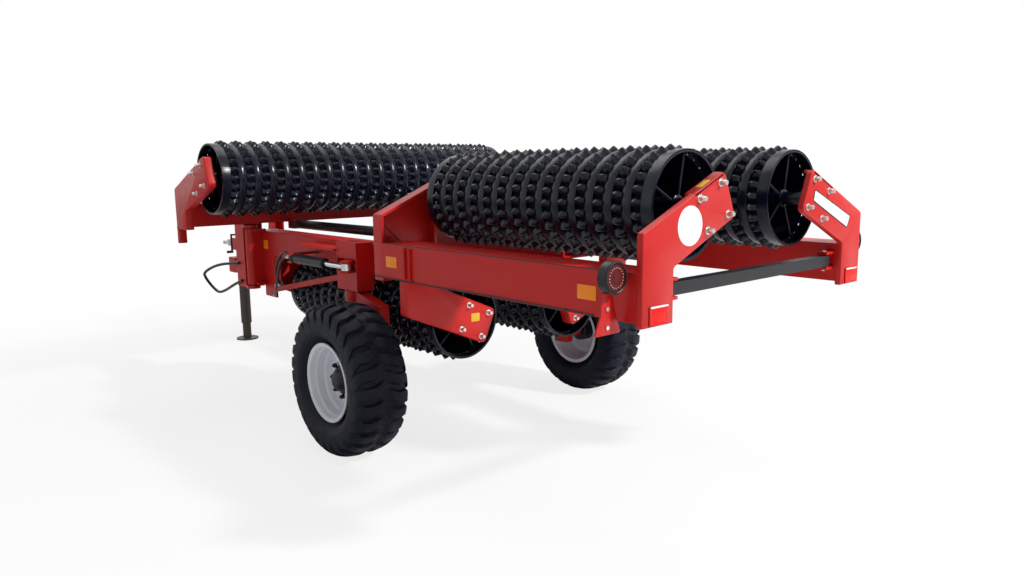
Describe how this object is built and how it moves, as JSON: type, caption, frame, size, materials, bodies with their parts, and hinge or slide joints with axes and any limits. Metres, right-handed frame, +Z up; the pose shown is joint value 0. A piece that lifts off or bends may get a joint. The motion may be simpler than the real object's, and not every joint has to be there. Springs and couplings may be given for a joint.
{
  "type": "folding land roller",
  "caption": "Towed folding land roller with black ring rolls on a red frame, wings folded back for the road over two wheels.",
  "frame": {"origin": "on the ground, middle of the machine's length and width", "axes": "+Y forward to the hitch, +X to the machine's right, +Z up"},
  "size_m": [2.376, 5.866, 1.7054],
  "materials": {
    "red_paint": "gloss paint, dusty",
    "roll_iron": "glossy black coating",
    "tyre_rubber": "weathered rubber",
    "rim_paint": "white paint",
    "black_paint": "satin black",
    "chrome": "polished",
    "zinc_steel": "plated",
    "lamp_lens": "lamp lens",
    "hose_rubber": "satin black"
  },
  "bodies": {
    "drawbar": {"drawbar_frame": "red_paint", "hitch_eye": "zinc_steel", "tilt_tower": "red_paint", "jack_tube": "black_paint", "jack_crank": "zinc_steel"},
    "jack_leg_body": {"jack_leg": "black_paint"},
    "centre_section": {"centre_beam": "red_paint", "carrier_left": "red_paint", "carrier_right": "red_paint", "centre_arms": "red_paint", "centre_bearings": "black_paint", "hose_loop": "hose_rubber"},
    "centre_roll": {"roll_centre": "roll_iron"},
    "tilt_barrel_body": {"tilt_barrel": "black_paint"},
    "tilt_rod_body": {"tilt_rod": "chrome"},
    "tie_bar_body": {"tie_bar": "black_paint"},
    "wing_left": {"beam_outer_left": "red_paint", "beam_inner_left": "red_paint", "arm_rear_left": "red_paint", "arm_middle_left": "red_paint", "arm_low_rear_left": "red_paint", "arm_low_front_left": "red_paint", "bearings_left": "black_paint", "column_left": "red_paint", "cylinder_ears_left": "red_paint", "steer_barrel_left": "black_paint", "lamp_plate_left": "red_paint", "lamp_left": "lamp_lens", "hose_steer_front": "hose_rubber", "hose_steer_rear": "hose_rubber"},
    "upper_roll_left": {"roll_upper_left": "roll_iron"},
    "lower_roll_left": {"roll_lower_left": "roll_iron"},
    "leg_left_body": {"leg_left": "red_paint"},
    "wheel_left": {"tyre_left": "tyre_rubber", "rim_left": "rim_paint", "hub_left": "black_paint"},
    "steer_rod_left_body": {"steer_rod_left": "chrome"},
    "fold_barrel_left_body": {"fold_barrel_left": "black_paint"},
    "fold_rod_left_body": {"fold_rod_left": "chrome"},
    "wing_right": {"beam_outer_right": "red_paint", "beam_inner_right": "red_paint", "arm_rear_right": "red_paint", "arm_middle_right": "red_paint", "arm_low_rear_right": "red_paint", "arm_low_front_right": "red_paint", "bearings_right": "black_paint", "column_right": "red_paint", "cylinder_ears_right": "red_paint", "steer_barrel_right": "black_paint", "lamp_plate_right": "red_paint", "lamp_right": "lamp_lens"},
    "upper_roll_right": {"roll_upper_right": "roll_iron"},
    "lower_roll_right": {"roll_lower_right": "roll_iron"},
    "leg_right_body": {"leg_right": "red_paint"},
    "wheel_right": {"tyre_right": "tyre_rubber", "rim_right": "rim_paint", "hub_right": "black_paint"},
    "steer_rod_right_body": {"steer_rod_right": "chrome"},
    "fold_barrel_right_body": {"fold_barrel_right": "black_paint"},
    "fold_rod_right_body": {"fold_rod_right": "chrome"}
  },
  "joints": [
    {"name": "frame_tilt", "type": "hinge", "parent": "drawbar", "child": "centre_section", "pos_m": [0, 0.923, 0.83], "axis": [1, 0, 0], "range_deg": [0, 90]},
    {"name": "tilt_barrel_swing", "type": "hinge", "parent": "drawbar", "child": "tilt_barrel_body", "pos_m": [0, 1.793, 1.2], "axis": [1, 0, 0], "range_deg": [0, 27.6]},
    {"name": "jack_slide", "type": "slide", "parent": "drawbar", "child": "jack_leg_body", "axis": [0, 0, 1], "range_m": [0, 0.12]},
    {"name": "centre_roll_spin", "type": "hinge", "parent": "centre_section", "child": "centre_roll", "pos_m": [0, 0.268, 1.47], "axis": [1, 0, 0], "continuous": true},
    {"name": "tie_bar_swing", "type": "hinge", "parent": "wing_left", "child": "tie_bar_body", "pos_m": [-0.595, -2.872, 1.07], "axis": [0, 0, 1], "range_deg": [0, 90]},
    {"name": "tilt_rod_slide", "type": "slide", "parent": "tilt_barrel_body", "child": "tilt_rod_body", "axis": [0, -0.9814, 0.192], "range_m": [0, 0.5444]},
    {"name": "wing_fold_left", "type": "hinge", "parent": "centre_section", "child": "wing_left", "pos_m": [-0.735, 0.603, 0.93], "axis": [0, 0, -1], "range_deg": [0, 90]},
    {"name": "upper_roll_spin_left", "type": "hinge", "parent": "wing_left", "child": "upper_roll_left", "pos_m": [-0.4, -2.007, 1.369], "axis": [0, 1, 0], "continuous": true},
    {"name": "lower_roll_spin_left", "type": "hinge", "parent": "wing_left", "child": "lower_roll_left", "pos_m": [-0.4, -0.507, 0.718], "axis": [0, 1, 0], "continuous": true},
    {"name": "leg_turn_left", "type": "hinge", "parent": "wing_left", "child": "leg_left_body", "pos_m": [-0.715, -0.772, 0.99], "axis": [0, 0, -1], "range_deg": [0, 75]},
    {"name": "wheel_spin_left", "type": "hinge", "parent": "leg_left_body", "child": "wheel_left", "pos_m": [-0.925, -1.007, 0.41], "axis": [1, 0, 0], "continuous": true},
    {"name": "steer_rod_slide_left", "type": "slide", "parent": "wing_left", "child": "steer_rod_left_body", "axis": [0, 1, 0], "range_m": [0, 0.1532]},
    {"name": "fold_barrel_swing_left", "type": "hinge", "parent": "centre_section", "child": "fold_barrel_left_body", "pos_m": [-0.45, 0.483, 1.145], "axis": [0, 0, -1], "range_deg": [0, 84.96]},
    {"name": "fold_rod_slide_left", "type": "slide", "parent": "fold_barrel_left_body", "child": "fold_rod_left_body", "axis": [0.0224, -0.9997, 0], "range_m": [0, 0.4165]},
    {"name": "wing_fold_right", "type": "hinge", "parent": "centre_section", "child": "wing_right", "pos_m": [0.735, 0.603, 0.93], "axis": [0, 0, 1], "range_deg": [0, 90]},
    {"name": "upper_roll_spin_right", "type": "hinge", "parent": "wing_right", "child": "upper_roll_right", "pos_m": [0.4, -2.007, 1.369], "axis": [0, 1, 0], "continuous": true},
    {"name": "lower_roll_spin_right", "type": "hinge", "parent": "wing_right", "child": "lower_roll_right", "pos_m": [0.4, -0.507, 0.718], "axis": [0, 1, 0], "continuous": true},
    {"name": "leg_turn_right", "type": "hinge", "parent": "wing_right", "child": "leg_right_body", "pos_m": [0.715, -0.772, 0.99], "axis": [0, 0, 1], "range_deg": [0, 75]},
    {"name": "wheel_spin_right", "type": "hinge", "parent": "leg_right_body", "child": "wheel_right", "pos_m": [0.925, -1.007, 0.41], "axis": [1, 0, 0], "continuous": true},
    {"name": "steer_rod_slide_right", "type": "slide", "parent": "wing_right", "child": "steer_rod_right_body", "axis": [0, 1, 0], "range_m": [0, 0.1532]},
    {"name": "fold_barrel_swing_right", "type": "hinge", "parent": "centre_section", "child": "fold_barrel_right_body", "pos_m": [0.45, 0.483, 1.145], "axis": [0, 0, 1], "range_deg": [0, 84.96]},
    {"name": "fold_rod_slide_right", "type": "slide", "parent": "fold_barrel_right_body", "child": "fold_rod_right_body", "axis": [-0.0224, -0.9997, 0], "range_m": [0, 0.4165]}
  ],
  "couplings": [
    {"joint": "tilt_barrel_swing", "follows": "frame_tilt", "ratio": 0.30608},
    {"joint": "tilt_rod_slide", "follows": "frame_tilt", "m_per_rad": 0.34592},
    {"joint": "fold_barrel_swing_left", "follows": "wing_fold_left", "ratio": 0.9434},
    {"joint": "fold_rod_slide_left", "follows": "wing_fold_left", "m_per_rad": 0.26453},
    {"joint": "steer_rod_slide_left", "follows": "leg_turn_left", "m_per_rad": 0.11626},
    {"joint": "fold_barrel_swing_right", "follows": "wing_fold_right", "ratio": 0.9434},
    {"joint": "fold_rod_slide_right", "follows": "wing_fold_right", "m_per_rad": 0.26453},
    {"joint": "steer_rod_slide_right", "follows": "leg_turn_right", "m_per_rad": 0.11626}
  ]
}
